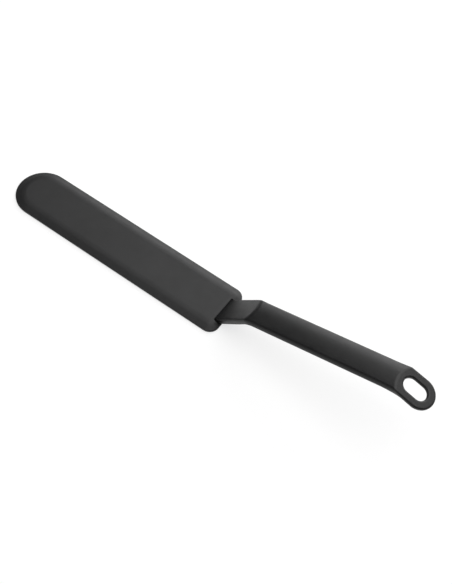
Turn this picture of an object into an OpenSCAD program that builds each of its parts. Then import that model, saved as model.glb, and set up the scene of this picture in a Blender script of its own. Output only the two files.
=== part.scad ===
// Offset spatula: a soft blade moulded over a bent steel core, and a moulded handle whose neck
// lifts the grip clear of the work. Millimetres. +X runs from the blade to the handle and +Z is
// up. The origin is the centre of the blade's flat underside.

/* [Blade] */
// Length of the blade, from its round tip to its root end
blade_l = 205; // [150:1:260]
// Width of the blade
blade_w = 44.8; // [38:0.2:60]
// Thickness of the blade inside its bevel
blade_t = 4.2; // [3.6:0.1:6]
// Thickness of the blade at its rim
rim_t = 1.7; // [1:0.1:2.4]
// Width of the convex bevel that runs all round the blade
bevel_w = 7; // [4:0.5:8]
// Radius of the two corners at the root end
corner_r = 8.2; // [8:0.1:12]

/* [Pocket for the neck] */
// How far the neck reaches into the root end of the blade
pocket_d = 6.2; // [4.5:0.1:9]
// Thickness of blade skin left under the neck
pocket_floor = 1; // [0.6:0.1:1.4]
// How far the neck's top starts below the top of the blade
neck_step = 0.5; // [0:0.1:1]

/* [Core] */
// Thickness of the steel sheet
core_t = 1; // [0.6:0.1:1.2]
// Width of blade skin left round the edge of the steel
core_margin = 5.5; // [4:0.5:9]
// Radius of the steel's two corners next to the neck
core_corner_r = 4; // [1:0.5:6]
// Diameter of the holes that lock the blade skin to the steel
lock_d = 8; // [4:0.5:12]
// Spacing of the lock holes along the blade
lock_pitch = 24; // [16:1:40]
// Width of the tang that runs up the neck into the grip
tang_w = 14; // [8:0.5:16]
// Length of the tang inside the grip
tang_grip_l = 86; // [40:1:88]
// Radius of the tang's two bends, at the middle of the sheet
tang_bend_r = 5; // [3:0.5:8]
// Diameter of the holes that lock the handle to the tang
key_d = 5; // [3:0.5:6]
// Number of lock holes in the tang
key_n = 3; // [1:1:4]

/* [Handle] */
// Width of the neck and the grip
handle_w = 23; // [20:0.2:27.6]
// Thickness of the neck
neck_t = 5.7; // [5:0.1:7]
// Slope of the neck
neck_angle = 44.5; // [35:0.5:55]
// Height of the ridge of the grip above the underside of the blade, where the grip starts
grip_h = 30.2; // [24:0.2:40]
// Length of the grip along its ridge, from the neck to the loop
grip_l = 117.6; // [100:1:150]
// Thickness of the grip at its ridge
grip_t = 7; // [7:0.1:11]
// Height of the grip's crown above its long edges
crown_h = 2.4; // [1.5:0.1:4]
// Slope of the grip
grip_angle = 14.9; // [8:0.1:22]
// How far the grip's upper long edges are eased, in from the side and down from the crown
shoulder = 1; // [0.5:0.1:2]
// Radius along the grip's lower long edges
keel_r = 2; // [1:0.1:2.4]
// Radius along all four edges of the neck
neck_edge_r = 1.7; // [1:0.1:2.2]

/* [Hanging loop] */
// Droop of the loop below level
loop_angle = 15.7; // [5:0.1:22]
// Width of the loop at its round end
loop_w = 24; // [22:0.2:30]
// Thickness of the loop
loop_t = 3.8; // [3.8:0.1:6]
// Distance from the end of the grip's ridge to the middle of the slot
slot_reach = 14.5; // [13:0.1:20]
// Width of the slot
slot_w = 11; // [8:0.2:13]
// Length of the slot
slot_l = 18.8; // [14:0.2:24]
// Radius round the edge of the slot
slot_edge_r = 1.5; // [0.5:0.1:2]

/* [Hidden] */
$fn = 96;

// Extra length for cuts, and a length greater than the whole handle
spare = 10;
far = 3*(grip_l + grip_h);
// How far the grip and the loop each run on inside the other, so that they are one solid
lap = 1;
// How much wider the upper sections are than the lower ones that they trim
skim = 0.04;

// Blade
tip_x = -blade_l/2;
root_x = blade_l/2;
tip_c = tip_x + blade_w/2;
corner_x = root_x - corner_r;
rim_drop = blade_t - rim_t;
bevel_r = (bevel_w*bevel_w + rim_drop*rim_drop)/(2*rim_drop);

// Side view, as [x, z]: a heading, the normal above it, and where two lines cross
function ahead(a) = [cos(a), sin(a)];
function above(a) = [-sin(a), cos(a)];
function reversed(v) = [for (i = [len(v) - 1:-1:0]) v[i]];
function cross2(u, v) = u[0]*v[1] - u[1]*v[0];
function crossing(p, a, q, b) =
    p + ahead(a)*cross2(q - p, ahead(b))/cross2(ahead(a), ahead(b));

// Neck: its top face starts at the pocket's inner wall
pocket_x = root_x - pocket_d;
neck_p = [pocket_x, blade_t - neck_step];
neck_under = neck_p - above(neck_angle)*neck_t;

// Grip: its ridge starts where the neck's top face reaches grip_h
grip_p = crossing(neck_p, neck_angle, [root_x, grip_h], 0);
grip_under = grip_p - above(grip_angle)*grip_t;
crown_r = (handle_w*handle_w/4 + crown_h*crown_h)/(2*crown_h);
bend_under = crossing(neck_under, neck_angle, grip_under, grip_angle);

// Loop: its top face starts at the end of the ridge
loop_p = grip_p + ahead(grip_angle)*grip_l;
loop_under = loop_p - above(-loop_angle)*loop_t;
slot_c = (slot_l - slot_w)/2;
crest_under = crossing(grip_under, grip_angle, loop_under, -loop_angle);
crest_reach = norm(crest_under - loop_under);
bar_end = loop_p + ahead(-loop_angle)*(crest_reach + lap);

// Core: the sheet lies in the middle of the blade and stops two thicknesses short of the
// pocket, but for the tang, which runs on to its two corners in the neck and the grip
core_z = blade_t/2;
core_tip_r = blade_w/2 - core_margin;
core_end_x = pocket_x - 2*core_t;
tang_neck = neck_p - above(neck_angle)*neck_t/2;
tang_grip = grip_p - above(grip_angle)*(crown_h + grip_t)/2;
foot_p = crossing([root_x, core_z], 0, tang_neck, neck_angle);
knee_p = crossing(tang_neck, neck_angle, tang_grip, grip_angle);
foot_run = tang_bend_r*tan(neck_angle/2);
knee_run = tang_bend_r*tan((neck_angle - grip_angle)/2);
tang_start_x = core_end_x - core_corner_r;
bend_steps = 10;
lock_span = core_end_x - tip_c - lock_d;
lock_n = floor(lock_span/lock_pitch);

// Puts a shape drawn along +X at a point of the side view, at a slope
module at(p, a) {
    translate([p[0], 0, p[1]]) rotate([0, -a, 0]) children();
}

// Runs a cross-section (across, up) along +X
module along(l) {
    rotate([90, 0, 90]) linear_extrude(l) children();
}

// Draws a flat side view (along, up) right across the width
module across(w) {
    translate([0, w/2, 0]) rotate([90, 0, 0]) linear_extrude(w) children();
}

// Half section of the blade from its middle to its rim, r away
module edge_half(r) {
    intersection() {
        square([r, blade_t]);
        union() {
            square([r - bevel_w, blade_t]);
            translate([r - bevel_w, blade_t - bevel_r]) circle(bevel_r);
        }
    }
}

// Outer shape of the blade, its edge profile carried round the whole outline
module blade_form() {
    translate([tip_c, 0, 0]) rotate([0, 0, 90]) rotate_extrude(angle = 180) edge_half(blade_w/2);
    translate([tip_c, 0, 0]) along(corner_x - tip_c) {
        edge_half(blade_w/2);
        mirror([1, 0]) edge_half(blade_w/2);
    }
    for (s = [0, 1]) mirror([0, s, 0]) translate([corner_x, blade_w/2 - corner_r, 0])
        rotate_extrude(angle = 90) edge_half(corner_r);
    translate([corner_x, 0, 0]) across(blade_w - 2*corner_r) edge_half(corner_r);
}

// Points along one face of the tang: t above its middle, with both bends drawn as arcs
function arc_points(c, r, a0, a1) = [for (i = [0:bend_steps]) c + ahead(a0 + (a1 - a0)*i/bend_steps)*r];
function tang_face(t) = concat(
    [[tang_start_x, core_z + t]],
    arc_points([foot_p[0] - foot_run, core_z + tang_bend_r], tang_bend_r - t, -90, neck_angle - 90),
    arc_points(knee_p - ahead(neck_angle)*knee_run - above(neck_angle)*tang_bend_r,
        tang_bend_r + t, neck_angle + 90, grip_angle + 90),
    [knee_p + ahead(grip_angle)*(knee_run + tang_grip_l) + above(grip_angle)*t]);

// Outline of the steel inside the blade
module core_plan() {
    translate([tip_c, 0]) circle(core_tip_r);
    translate([tip_c, -core_tip_r]) square([core_end_x - core_corner_r - tip_c, 2*core_tip_r]);
    translate([tip_c, core_corner_r - core_tip_r])
        square([core_end_x - tip_c, 2*(core_tip_r - core_corner_r)]);
    for (s = [-1, 1]) translate([core_end_x - core_corner_r, s*(core_tip_r - core_corner_r)])
        circle(core_corner_r);
}

module core_form() {
    difference() {
        translate([0, 0, core_z - core_t/2]) linear_extrude(core_t) core_plan();
        for (i = [0:lock_n]) translate([tip_c + i*lock_span/lock_n, 0, core_z])
            cylinder(d = lock_d, h = 2*core_t, center = true);
    }
    difference() {
        across(tang_w) polygon(concat(tang_face(core_t/2), reversed(tang_face(-core_t/2))));
        for (i = [1:key_n]) at(knee_p + ahead(grip_angle)*(knee_run + i*tang_grip_l/(key_n + 1)),
            grip_angle) cylinder(d = key_d, h = 2*core_t, center = true);
    }
}

// Cross-section above the underside, at 0, with both lower edges rounded
module lower_section(r) {
    for (s = [-1, 1]) translate([s*(handle_w/2 - r), r]) circle(r);
    translate([-handle_w/2, r]) square([handle_w, far]);
    translate([r - handle_w/2, 0]) square([handle_w - 2*r, far]);
}

// Cross-section below the neck's top, at 0, with both upper edges rounded
module upper_section() {
    half = handle_w/2 + skim;
    side = half - neck_edge_r;
    for (s = [-1, 1]) translate([s*side, -neck_edge_r]) circle(neck_edge_r);
    translate([-half, -neck_edge_r - far]) square([2*half, far]);
    translate([-side, -far]) square([2*side, far]);
}

// Cross-section below the grip's crown, its ridge at 0, with its two upper edges eased
module crown_section() {
    half = handle_w/2 + skim;
    low = [half, -crown_h - shoulder];
    high = [half - shoulder, sqrt(crown_r*crown_r - pow(half - shoulder, 2)) - crown_r];
    out = 2*high - low;
    intersection() {
        translate([0, -crown_r]) circle(crown_r);
        polygon([[-half, -far], [half, -far], low, out, [out[0], spare], [-out[0], spare],
            [-out[0], out[1]], [-low[0], low[1]]]);
    }
    translate([-half, -far]) square([2*half, far - crown_r]);
}

// Neck and grip: under every top face, and over an underside. Every bar runs on well past the
// faces that trim it, and the whole ends inside the loop
module handle_bar() {
    intersection() {
        union() {
            at(neck_under - ahead(neck_angle)*spare, neck_angle)
                along(2*grip_h) lower_section(neck_edge_r);
            at(bend_under - ahead(grip_angle)*spare, grip_angle)
                along(grip_l + 3*spare) lower_section(keel_r);
        }
        at(neck_p - ahead(neck_angle)*far/2, neck_angle) along(far) upper_section();
        at(grip_p - ahead(grip_angle)*far/2, grip_angle) along(far) crown_section();
        across(handle_w + spare) polygon([[pocket_x, pocket_floor], [loop_p[0], pocket_floor],
            bar_end - above(-loop_angle)*spare, bar_end,
            crossing(loop_p, -loop_angle, neck_p, 90)]);
    }
}

// Flat loop, without its slot. It starts inside the end of the grip
module loop_bar() {
    start = crest_reach - lap;
    end = slot_reach + slot_c;
    at(loop_p, -loop_angle) translate([0, 0, -loop_t]) linear_extrude(loop_t) {
        polygon([[start, -handle_w/2], [end, -loop_w/2], [end, loop_w/2], [start, handle_w/2]]);
        translate([end, 0]) circle(loop_w/2);
    }
}

// Cross-section of half the slot, flared at both faces by its rounded edge
module slot_half() {
    r = slot_w/2;
    translate([0, -loop_t - spare]) square([r, loop_t + 2*spare]);
    for (s = [0, 1]) translate([0, -s*loop_t]) mirror([0, s]) difference() {
        translate([0, -slot_edge_r]) square([r + slot_edge_r, slot_edge_r + spare]);
        translate([r + slot_edge_r, -slot_edge_r]) circle(slot_edge_r);
    }
}

module slot_form() {
    at(loop_p, -loop_angle) {
        for (s = [-1, 1]) translate([slot_reach + s*slot_c, 0, 0]) rotate_extrude() slot_half();
        translate([slot_reach - slot_c, 0, 0]) along(2*slot_c) {
            slot_half();
            mirror([1, 0]) slot_half();
        }
    }
}

// Soft skin of the blade. It fills the core's lock holes and leaves a pocket for the neck
module blade_skin() {
    color([0.16, 0.16, 0.165]) difference() {
        blade_form();
        translate([pocket_x, -handle_w/2, pocket_floor]) cube([pocket_d + spare, handle_w, blade_t]);
        core_form();
    }
}

// Bent spring-steel sheet inside the blade, the neck and the grip
module blade_core() {
    color([0.7, 0.71, 0.73]) core_form();
}

// Moulded neck, grip and hanging loop, solid round the tang
module handle() {
    color([0.12, 0.12, 0.125]) difference() {
        union() {
            handle_bar();
            loop_bar();
        }
        slot_form();
        core_form();
    }
}

blade_skin();
blade_core();
handle();
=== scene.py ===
"""Looks of the offset spatula: a soft moulded blade, a moulded handle and the steel core.

Shapes are worked out in millimetres in the CAD frame and turned into metres on the way out.
"""

import math

import bpy
import numpy as np
from mathutils import Matrix, Vector


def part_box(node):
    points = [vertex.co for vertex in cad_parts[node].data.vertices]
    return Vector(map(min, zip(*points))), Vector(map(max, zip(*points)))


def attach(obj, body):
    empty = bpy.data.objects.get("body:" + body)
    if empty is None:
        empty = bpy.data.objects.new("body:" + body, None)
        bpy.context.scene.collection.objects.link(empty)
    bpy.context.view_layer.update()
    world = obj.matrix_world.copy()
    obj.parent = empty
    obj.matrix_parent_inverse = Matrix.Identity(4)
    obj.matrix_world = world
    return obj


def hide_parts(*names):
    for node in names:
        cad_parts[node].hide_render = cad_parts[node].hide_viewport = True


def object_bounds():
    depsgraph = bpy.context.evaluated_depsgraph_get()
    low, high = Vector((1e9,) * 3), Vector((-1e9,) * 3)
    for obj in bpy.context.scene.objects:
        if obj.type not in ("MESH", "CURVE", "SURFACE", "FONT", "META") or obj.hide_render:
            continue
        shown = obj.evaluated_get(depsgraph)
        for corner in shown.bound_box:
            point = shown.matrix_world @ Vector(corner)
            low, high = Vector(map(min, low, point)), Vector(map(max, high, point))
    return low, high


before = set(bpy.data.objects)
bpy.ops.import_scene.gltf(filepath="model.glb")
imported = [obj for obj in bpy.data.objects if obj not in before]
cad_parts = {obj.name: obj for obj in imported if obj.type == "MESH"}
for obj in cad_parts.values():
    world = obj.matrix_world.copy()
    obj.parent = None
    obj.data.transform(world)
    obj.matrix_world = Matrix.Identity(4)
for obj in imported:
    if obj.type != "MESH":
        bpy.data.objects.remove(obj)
cad_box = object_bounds()
MM = 0.001

# ---------------------------------------------------------------- sizes, in millimetres

skin_lo, skin_hi = (np.array(v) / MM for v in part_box("blade_skin"))
hand_lo, hand_hi = (np.array(v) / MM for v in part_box("handle"))

# Blade
TIP_X, ROOT_X = skin_lo[0], skin_hi[0]
ROOT_HALF = skin_hi[1]  # half width at the root
TIP_R = ROOT_HALF * 0.988  # the blade narrows a little towards its round tip
BLADE_T = skin_hi[2]
BEVEL_ANGLE = 20.0
BEVEL_BLEND_R = 16.0  # where the bevel runs into the flat
RIM_T = 1.75
CORNER_R = 8.2
RIM_R = 0.42  # rounding where the bevel meets the thin edge
UNDER_R = 0.3  # rounding round the underside

# Pocket for the neck
POCKET_X = hand_lo[0]
POCKET_FLOOR = 1.0
POCKET_RIM_R = 0.7

# Neck, grip and loop, very close to the CAD's
HALF_W = 11.6
NECK_ANGLE, GRIP_ANGLE, LOOP_ANGLE = 44.5, 14.9, -15.7
NECK_T, GRIP_T, LOOP_T = 5.6, 6.9, 3.5
NECK_STEP = 0.5  # how far the neck's top starts below the blade's
GRIP_H, GRIP_L = 30.2, 117.6
CROWN_H = 2.2
NECK_CROWN_H = 0.25
LOOP_R = 11.9
SLOT_REACH = 14.5  # from the crest to the slot's centre
SLOT_HALF, SLOT_R = 3.9, 5.5  # half of its straight length, and its radius

# Rounding of the handle's edges
NECK_EDGE_R, CROWN_EDGE_R, LOOP_EDGE_R = 1.7, 3.4, 1.5
KEEL_R = 2.7
SLOT_EDGE_R, SLOT_UNDER_R = 1.5, 2.0
BEND_BEFORE, BEND_AFTER = 6.0, 4.0  # the rounding changes over this stretch at each bend
SHOULDER_R, CREST_R = 8.0, 5.0  # where the neck's flat and the loop's flat meet the crown
KNEE_R, ARCH_R = 8.0, 10.0  # the same bends on the underside

# Grid spacings for the meshes: closest at a rounded edge, widest where the shape runs straight
EDGE_STEP, THROUGH_STEP, ROOT_STEP, BEVEL_STEP = 0.12, 0.18, 0.25, 0.28
HANDLE_STEP, FLAT_STEP, STRAIGHT_STEP = 0.4, 0.6, 3.0
CENTRE_GAP = 0.1  # from the middle plane to the grid lines on each side of it

# How far the stretches of each spacing reach
EDGE_BAND = 1.0  # to each side of an edge
RIM_BAND, UNDER_BAND = 1.3, 0.6  # in from the tip, and up from the underside
TIP_REACH, ROOT_REACH = 24.0, 12.0  # the tip's and the root's shares of the blade's length
MARGIN, CLOSE_MARGIN = 0.5, 0.4  # beyond the blade's ends and sides, and above and below it
HANDLE_MARGIN, FOOT_MARGIN = 0.8, 0.6


# ---------------------------------------------------------------- surfaces from distance fields


def cut(a, b, r):
    """Inside both fields. Where they meet square, their shared edge is rounded to radius r."""
    return np.minimum(np.maximum(a, b), -r) + np.hypot(np.maximum(a + r, 0), np.maximum(b + r, 0))


def join(a, b, r):
    """Inside either field, with the same rounding in the corner between them."""
    return -cut(-a, -b, r)


def eased(r, angle):
    """What cut and join need for a true radius r where two faces turn by that angle."""
    return r * (1 / math.cos(math.radians(angle / 2)) - 1) / (1 - math.sqrt(0.5))


def ahead(angle):
    t = math.radians(angle)
    return np.array([math.cos(t), math.sin(t)])


def above(angle):
    t = math.radians(angle)
    return np.array([-math.sin(t), math.cos(t)])


def crossing(p, a, q, b):
    """Where two lines of the side view cross."""
    u, v, w = ahead(a), ahead(b), q - p
    return p + u * (w[0] * v[1] - w[1] * v[0]) / (u[0] * v[1] - u[1] * v[0])


def rise(x, z, p, angle):
    """Height above the line through p at that slope."""
    n = above(angle)
    return (x - p[0]) * n[0] + (z - p[1]) * n[1]


def run(x, z, p, angle):
    """Distance along the line through p at that slope."""
    t = ahead(angle)
    return (x - p[0]) * t[0] + (z - p[1]) * t[1]


NECK_P = np.array([POCKET_X, BLADE_T - NECK_STEP])
GRIP_P = crossing(NECK_P, NECK_ANGLE, np.array([0.0, GRIP_H]), 0)
LOOP_P = GRIP_P + ahead(GRIP_ANGLE) * GRIP_L
CROWN_R = (HALF_W**2 + CROWN_H**2) / (2 * CROWN_H)
NECK_CROWN_R = (HALF_W**2 + NECK_CROWN_H**2) / (2 * NECK_CROWN_H)
LOOP_END = SLOT_REACH + SLOT_HALF


def blade_outline(x, y):
    """Distance outside the blade's outline: a round tip, sides that taper, two root corners."""
    y = np.abs(y)
    tip_c = TIP_X + TIP_R
    half = TIP_R + (ROOT_HALF - TIP_R) * np.clip((x - tip_c) / (ROOT_X - tip_c), 0, 1)
    across, along = y - half + CORNER_R, x - ROOT_X + CORNER_R
    body = np.minimum(np.maximum(across, along), 0) - CORNER_R
    body = body + np.hypot(np.maximum(across, 0), np.maximum(along, 0))
    return np.where(x < tip_c, np.hypot(x - tip_c, y) - TIP_R, body)


def blade_field(x, y, z):
    """The blade: flat underneath, bevelled all round, with a pocket in its root end."""
    outline = blade_outline(x, y)
    tilt = math.radians(BEVEL_ANGLE)
    bevel = (z - RIM_T) * math.cos(tilt) + outline * math.sin(tilt)
    top = cut(z - BLADE_T, bevel, eased(BEVEL_BLEND_R, BEVEL_ANGLE))
    solid = cut(cut(top, outline, RIM_R), -z, UNDER_R)
    pocket = np.maximum(np.maximum(POCKET_X - x, np.abs(y) - HALF_W), POCKET_FLOOR - z)
    rim = np.clip(z / BLADE_T * 2 - 1, 0.1, 1)  # the pocket's edge is rounded towards its top only
    return cut(solid, -pocket, POCKET_RIM_R * rim)


def crowned(height, y, r):
    """A face at that height in the middle plane, falling away to both sides in an arc."""
    return np.hypot(y, np.maximum(height + r, 0)) - r


def handle_field(x, y, z):
    """The handle: a flat neck, a crowned grip and a flat loop with a slot, bent at two places."""
    neck = rise(x, z, NECK_P, NECK_ANGLE)
    grip = rise(x, z, GRIP_P, GRIP_ANGLE)
    loop = rise(x, z, LOOP_P, LOOP_ANGLE)
    crown = crowned(grip, y, CROWN_R)
    knee, crest = NECK_ANGLE - GRIP_ANGLE, GRIP_ANGLE - LOOP_ANGLE
    top = cut(crowned(neck, y, NECK_CROWN_R), crown, eased(SHOULDER_R, knee))
    top = cut(top, loop, eased(CREST_R, crest))
    under = join(-neck - NECK_T, -grip - GRIP_T, eased(KNEE_R, knee))
    under = join(under, -loop - LOOP_T, eased(ARCH_R, crest))
    u = run(x, z, LOOP_P, LOOP_ANGLE)
    half = HALF_W + (LOOP_R - HALF_W) * np.clip(u / LOOP_END, 0, 1)
    side = np.where(u < LOOP_END, np.abs(y) - half, np.hypot(u - LOOP_END, y) - LOOP_R)
    stations = [p[0] + d for p in (GRIP_P, LOOP_P) for d in (-BEND_BEFORE, BEND_AFTER)]
    crown_r = eased(CROWN_EDGE_R, 90 - math.degrees(math.asin(HALF_W / CROWN_R)))
    top_r = np.interp(x, stations, [NECK_EDGE_R, crown_r, crown_r, LOOP_EDGE_R])
    low_r = np.interp(x, stations, [NECK_EDGE_R, KEEL_R, KEEL_R, LOOP_EDGE_R])
    bar = cut(cut(top, side, top_r), under, low_r)
    slot = np.hypot(np.maximum(np.abs(u - SLOT_REACH) - SLOT_HALF, 0), y) - SLOT_R
    bar = cut(bar, -slot, np.interp(loop, [-LOOP_T, 0], [SLOT_UNDER_R, SLOT_EDGE_R]))
    return np.maximum(bar, np.maximum(POCKET_X - x, POCKET_FLOOR - z))


def settle(field, p, rounds=5, step=0.01, least_slope=0.5, longest_move=0.3):
    """Moves points onto the field's surface, downhill in a few short moves."""
    for _ in range(rounds):
        value = field(*p.T)
        slope = np.stack(
            [(field(*(p + d).T) - field(*(p - d).T)) / (2 * step) for d in np.eye(3) * step], 1
        )
        size = np.maximum((slope**2).sum(1), least_slope**2)
        p = p - slope * np.clip(value / size, -longest_move, longest_move)[:, None]
    return p


def surface(name, field, xs, ys, zs):
    """A closed mesh of quads on the field's surface: one point in each grid cell it crosses."""
    axes = (xs, ys, zs)
    value = field(*np.meshgrid(*axes, indexing="ij"))
    inside = value < 0
    count = sum(
        inside[
            i : inside.shape[0] - 1 + i, j : inside.shape[1] - 1 + j, k : inside.shape[2] - 1 + k
        ].astype(np.int8)
        for i in (0, 1)
        for j in (0, 1)
        for k in (0, 1)
    )
    cell = np.argwhere((count > 0) & (count < 8))
    number = np.full(count.shape, -1, np.int64)
    number[tuple(cell.T)] = np.arange(len(cell))

    total, hits = np.zeros((len(cell), 3)), np.zeros(len(cell))
    for axis in range(3):
        side = [a for a in range(3) if a != axis]
        for shift in ((0, 0), (0, 1), (1, 0), (1, 1)):
            low = cell.copy()
            low[:, side[0]] += shift[0]
            low[:, side[1]] += shift[1]
            high = low.copy()
            high[:, axis] += 1
            a, b = value[tuple(low.T)], value[tuple(high.T)]
            hit = (a < 0) != (b < 0)
            t = np.where(hit, a / np.where(hit, a - b, 1), 0)
            p = np.stack([axes[c][low[:, c]] for c in range(3)], 1)
            p[:, axis] += t * (axes[axis][high[:, axis]] - axes[axis][low[:, axis]])
            total[hit] += p[hit]
            hits += hit
    points = settle(field, total / hits[:, None])

    quads = []
    for axis in range(3):
        b, c = [(1, 2), (2, 0), (0, 1)][axis]
        low = [slice(None)] * 3
        high = [slice(None)] * 3
        low[axis], high[axis] = slice(0, -1), slice(1, None)
        at = np.argwhere(inside[tuple(low)] != inside[tuple(high)])
        ring = []
        for db, dc in ((-1, -1), (0, -1), (0, 0), (-1, 0)):
            near = at.copy()
            near[:, b] += db
            near[:, c] += dc
            ring.append(number[tuple(near.T)])
        ring = np.stack(ring, 1)
        flip = ~inside[tuple(at.T)]
        ring[flip] = ring[flip][:, ::-1]
        quads.append(ring)
    quads = np.concatenate(quads)

    mesh = bpy.data.meshes.new(name)
    mesh.from_pydata((points * MM).tolist(), [], quads.tolist())
    mesh.validate()
    mesh.shade_smooth()
    piece = bpy.data.objects.new(name, mesh)
    bpy.context.scene.collection.objects.link(piece)
    return piece


def lines(*spans):
    """Grid lines from spans of (start, end, spacing)."""
    parts = [np.linspace(a, b, max(int(round((b - a) / s)), 1) + 1)[:-1] for a, b, s in spans]
    return np.concatenate(parts + [[spans[-1][1]]])


def both_sides(half):
    """The same grid lines on both sides of the middle plane."""
    return np.concatenate([-half[::-1], half])


# ---------------------------------------------------------------- pieces

blade = surface(
    "blade",
    blade_field,
    lines(
        (TIP_X - MARGIN, TIP_X + RIM_BAND, EDGE_STEP),
        (TIP_X + RIM_BAND, TIP_X + TIP_REACH, BEVEL_STEP),
        (TIP_X + TIP_REACH, ROOT_X - ROOT_REACH, STRAIGHT_STEP),
        (ROOT_X - ROOT_REACH, POCKET_X - EDGE_BAND, HANDLE_STEP),
        (POCKET_X - EDGE_BAND, POCKET_X + EDGE_BAND, EDGE_STEP),
        (POCKET_X + EDGE_BAND, ROOT_X - EDGE_BAND, ROOT_STEP),
        (ROOT_X - EDGE_BAND, ROOT_X + MARGIN, EDGE_STEP),
    ),
    both_sides(
        lines(
            (CENTRE_GAP, HALF_W - EDGE_BAND, FLAT_STEP),
            (HALF_W - EDGE_BAND, HALF_W + EDGE_BAND, EDGE_STEP),
            (HALF_W + EDGE_BAND, ROOT_HALF - EDGE_BAND, BEVEL_STEP),
            (ROOT_HALF - EDGE_BAND, ROOT_HALF + MARGIN, EDGE_STEP),
        )
    ),
    lines(
        (-CLOSE_MARGIN, UNDER_BAND, EDGE_STEP),
        (UNDER_BAND, BLADE_T + CLOSE_MARGIN, THROUGH_STEP),
    ),
)
handle = surface(
    "handle_moulding",
    handle_field,
    lines((POCKET_X - FOOT_MARGIN, hand_hi[0] + HANDLE_MARGIN, HANDLE_STEP)),
    both_sides(lines((CENTRE_GAP, LOOP_R + HANDLE_MARGIN, HANDLE_STEP))),
    lines((POCKET_FLOOR - MARGIN, hand_hi[2] + HANDLE_MARGIN, HANDLE_STEP)),
)

# ---------------------------------------------------------------- materials


def new_material(name):
    mat = bpy.data.materials.new(name)
    mat.use_nodes = True
    tree = mat.node_tree
    shader = next(n for n in tree.nodes if n.type == "BSDF_PRINCIPLED")
    place = tree.nodes.new("ShaderNodeTexCoord").outputs["Object"]
    return mat, tree, shader, place


def noise(tree, place, scale, detail, stretch=None):
    """Noise of scale cycles per metre. A stretch under 1 makes it longer along that axis."""
    if stretch:
        mapping = tree.nodes.new("ShaderNodeMapping")
        mapping.inputs["Scale"].default_value = stretch
        tree.links.new(place, mapping.inputs["Vector"])
        place = mapping.outputs["Vector"]
    node = tree.nodes.new("ShaderNodeTexNoise")
    node.inputs["Scale"].default_value = scale
    node.inputs["Detail"].default_value = detail
    tree.links.new(place, node.inputs["Vector"])
    return node.outputs["Fac"]


def spread(tree, value, to_lo, to_hi, lo=0.3, hi=0.7):
    """Carries the range lo to hi, where nearly all of a noise lies, over to a new range."""
    node = tree.nodes.new("ShaderNodeMapRange")
    for key, v in zip(("From Min", "From Max", "To Min", "To Max"), (lo, hi, to_lo, to_hi)):
        node.inputs[key].default_value = v
    tree.links.new(value, node.inputs["Value"])
    return node.outputs["Result"]


def blend_colours(tree, factor, a, b):
    node = tree.nodes.new("ShaderNodeMix")
    node.data_type = "RGBA"
    node.inputs["A"].default_value = (*a, 1)
    node.inputs["B"].default_value = (*b, 1)
    tree.links.new(factor, node.inputs["Factor"])
    return node.outputs["Result"]


def bump(tree, height, distance, strength, below=None):
    """A bump that many metres high, on top of another one if given."""
    node = tree.nodes.new("ShaderNodeBump")
    node.inputs["Distance"].default_value = distance
    node.inputs["Strength"].default_value = strength
    tree.links.new(height, node.inputs["Height"])
    if below is not None:
        tree.links.new(below, node.inputs["Normal"])
    return node.outputs["Normal"]


def silicone():
    """Soft dark grey silicone with a fine matt tooth, faint clouding and a dusty bloom."""
    mat, tree, shader, place = new_material("silicone")
    cloud = spread(tree, noise(tree, place, 45, 4), 0, 1)
    colour = blend_colours(tree, cloud, (0.011, 0.011, 0.0113), (0.015, 0.015, 0.0154))
    tree.links.new(colour, shader.inputs["Base Color"])
    matt = spread(tree, noise(tree, place, 160, 5), 0.43, 0.51)
    tree.links.new(matt, shader.inputs["Roughness"])
    shader.inputs["IOR"].default_value = 1.42
    shader.inputs["Sheen Weight"].default_value = 0.05
    shader.inputs["Sheen Roughness"].default_value = 0.4
    broad = bump(tree, noise(tree, place, 220, 2), 0.0003, 0.12)
    tooth = bump(tree, noise(tree, place, 3200, 3), 0.00006, 0.35, broad)
    tree.links.new(tooth, shader.inputs["Normal"])
    return mat


def nylon():
    """Satin black-grey nylon, spark-eroded texture, its edges rubbed slightly smoother."""
    mat, tree, shader, place = new_material("nylon")
    geometry = tree.nodes.new("ShaderNodeNewGeometry")
    worn = spread(tree, geometry.outputs["Pointiness"], 0, 1, 0.51, 0.56)
    cloud = spread(tree, noise(tree, place, 60, 4), 0, 1)
    colour = blend_colours(tree, cloud, (0.004, 0.004, 0.0042), (0.006, 0.006, 0.0062))
    tree.links.new(colour, shader.inputs["Base Color"])
    grain = spread(tree, noise(tree, place, 200, 5), 0.35, 0.43)
    rubbed = tree.nodes.new("ShaderNodeMath")
    rubbed.operation = "MULTIPLY_ADD"
    tree.links.new(worn, rubbed.inputs[0])
    rubbed.inputs[1].default_value = -0.06  # worn edges are this much smoother
    tree.links.new(grain, rubbed.inputs[2])
    tree.links.new(rubbed.outputs["Value"], shader.inputs["Roughness"])
    shader.inputs["IOR"].default_value = 1.47
    broad = bump(tree, noise(tree, place, 260, 2), 0.0003, 0.1)
    texture = bump(tree, noise(tree, place, 2600, 4), 0.00008, 0.4, broad)
    tree.links.new(texture, shader.inputs["Normal"])
    return mat


def brushed_steel():
    """Spring steel, brushed along its length."""
    mat, tree, shader, place = new_material("spring_steel")
    lay = noise(tree, place, 900, 4, stretch=(0.03, 1, 1))
    shade = spread(tree, lay, 0, 1)
    colour = blend_colours(tree, shade, (0.52, 0.52, 0.53), (0.63, 0.63, 0.65))
    tree.links.new(colour, shader.inputs["Base Color"])
    tree.links.new(spread(tree, lay, 0.22, 0.38), shader.inputs["Roughness"])
    shader.inputs["Metallic"].default_value = 1
    shader.inputs["Anisotropic"].default_value = 0.5
    tree.links.new(bump(tree, lay, 0.00003, 0.4), shader.inputs["Normal"])
    return mat


def dress(piece, node, mat):
    """Puts the piece in place of its CAD node, in that finish."""
    piece.data.materials.append(mat)
    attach(piece, "root")
    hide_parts(node)


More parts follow.
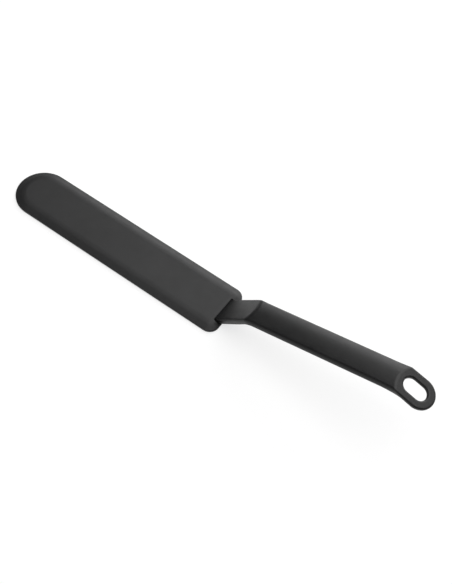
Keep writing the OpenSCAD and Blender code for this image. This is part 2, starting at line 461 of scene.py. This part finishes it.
dress(blade, "blade_skin", silicone())
dress(handle, "handle", nylon())
steel = brushed_steel()
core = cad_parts["blade_core"]
for material_slot in core.material_slots:
    material_slot.material = steel

# ---------------------------------------------------------------- floor, lights and camera

FLOOR_REACH = 4.0  # metres, as are all sizes from here to the lights
FLOOR_DROP = 0.0003  # below the blade, so that the two don't share a plane
FLOOR_GLOW = 0.72  # its own light, so that shadows are faint
SKY_LIGHT, BACKGROUND = 0.12, 0.78  # the light the surroundings give, and how pale they look


def pale_paper():
    """Nearly white paper, clear from below, for views of the object's underside."""
    mat, tree, shader, place = new_material("pale_paper")
    cloud = noise(tree, place, 8, 2)
    colour = blend_colours(tree, cloud, (0.33, 0.33, 0.33), (0.35, 0.35, 0.35))
    tree.links.new(colour, shader.inputs["Base Color"])
    shader.inputs["Roughness"].default_value = 0.9
    shader.inputs["Specular IOR Level"].default_value = 0.1
    shader.inputs["Emission Color"].default_value = (1, 1, 1, 1)
    shader.inputs["Emission Strength"].default_value = FLOOR_GLOW
    below = tree.nodes.new("ShaderNodeNewGeometry").outputs["Backfacing"]
    clear = tree.nodes.new("ShaderNodeBsdfTransparent")
    one_way = tree.nodes.new("ShaderNodeMixShader")
    tree.links.new(below, one_way.inputs["Fac"])
    tree.links.new(shader.outputs["BSDF"], one_way.inputs[1])
    tree.links.new(clear.outputs["BSDF"], one_way.inputs[2])
    out = next(n for n in tree.nodes if n.type == "OUTPUT_MATERIAL")
    tree.links.new(one_way.outputs["Shader"], out.inputs["Surface"])
    return mat


floor_mesh = bpy.data.meshes.new("floor")
corners = [(x * FLOOR_REACH, y * FLOOR_REACH, 0) for x, y in ((-1, -1), (1, -1), (1, 1), (-1, 1))]
floor_mesh.from_pydata(corners, [], [(0, 1, 2, 3)])
floor_mesh.materials.append(pale_paper())
floor = bpy.data.objects.new("floor", floor_mesh)
floor.location = (0, 0, -FLOOR_DROP)
bpy.context.scene.collection.objects.link(floor)

world = bpy.data.worlds.new("studio")
world.use_nodes = True
sky = world.node_tree.nodes["Background"]
sky.inputs["Color"].default_value = (1, 1, 1, 1)
seen = world.node_tree.nodes.new("ShaderNodeLightPath").outputs["Is Camera Ray"]
brightness = spread(world.node_tree, seen, SKY_LIGHT, BACKGROUND, 0, 1)
world.node_tree.links.new(brightness, sky.inputs["Strength"])
bpy.context.scene.world = world


def softbox(name, azimuth, elevation, distance, width, height, radiance):
    """A soft light aimed at the middle of the object, in metres and degrees.

    Azimuth 0 is towards +Y and 90 towards +X.
    """
    aim = (Vector(cad_box[0]) + Vector(cad_box[1])) / 2
    a, e = math.radians(azimuth), math.radians(elevation)
    away = Vector((math.sin(a) * math.cos(e), math.cos(a) * math.cos(e), math.sin(e)))
    lamp = bpy.data.lights.new(name, "AREA")
    lamp.shape = "RECTANGLE"
    lamp.size, lamp.size_y = width, height
    lamp.energy = radiance * math.pi * width * height
    item = bpy.data.objects.new(name, lamp)
    item.location = aim + away * distance
    item.rotation_euler = away.to_track_quat("Z", "Y").to_euler()
    item.visible_camera = False
    bpy.context.scene.collection.objects.link(item)


softbox("wall", 0, 22, distance=2.4, width=3.0, height=1.8, radiance=2.8)
softbox("top", -9, 78, distance=2.5, width=2.2, height=3.0, radiance=2.0)
softbox("side", 62, 52, distance=2.4, width=1.1, height=1.1, radiance=1.6)
softbox("front", 190, 14, distance=2.2, width=2.8, height=0.9, radiance=0.6)

# Camera, in degrees and millimetres. Azimuth 0 looks along +Y.
AZIMUTH, ELEVATION, ROLL = 28.801, 56.779, 8.039
AIM = Vector((91.088, 10.438, 9.591))  # what is in the middle of the picture
DISTANCE = 771.9
LENS, SENSOR = 63.148, 36
azimuth, elevation, roll = (math.radians(v) for v in (AZIMUTH, ELEVATION, ROLL))
level = Vector((math.cos(azimuth), math.sin(azimuth), 0))
toward = Vector((math.sin(azimuth), -math.cos(azimuth), 0))
back = toward * math.cos(elevation) + Vector((0, 0, math.sin(elevation)))
plumb = back.cross(level)
right = level * math.cos(roll) + plumb * math.sin(roll)
up = plumb * math.cos(roll) - level * math.sin(roll)
lens = bpy.data.cameras.new("camera")
lens.sensor_width, lens.lens = SENSOR, LENS
lens.clip_start, lens.clip_end = 0.01, 50  # metres
camera = bpy.data.objects.new("camera", lens)
turn = Matrix((right, up, back)).transposed().to_4x4()
camera.matrix_world = Matrix.Translation((AIM + back * DISTANCE) * MM) @ turn
bpy.context.scene.collection.objects.link(camera)
bpy.context.scene.camera = camera
bpy.context.scene.view_settings.view_transform = "Standard"
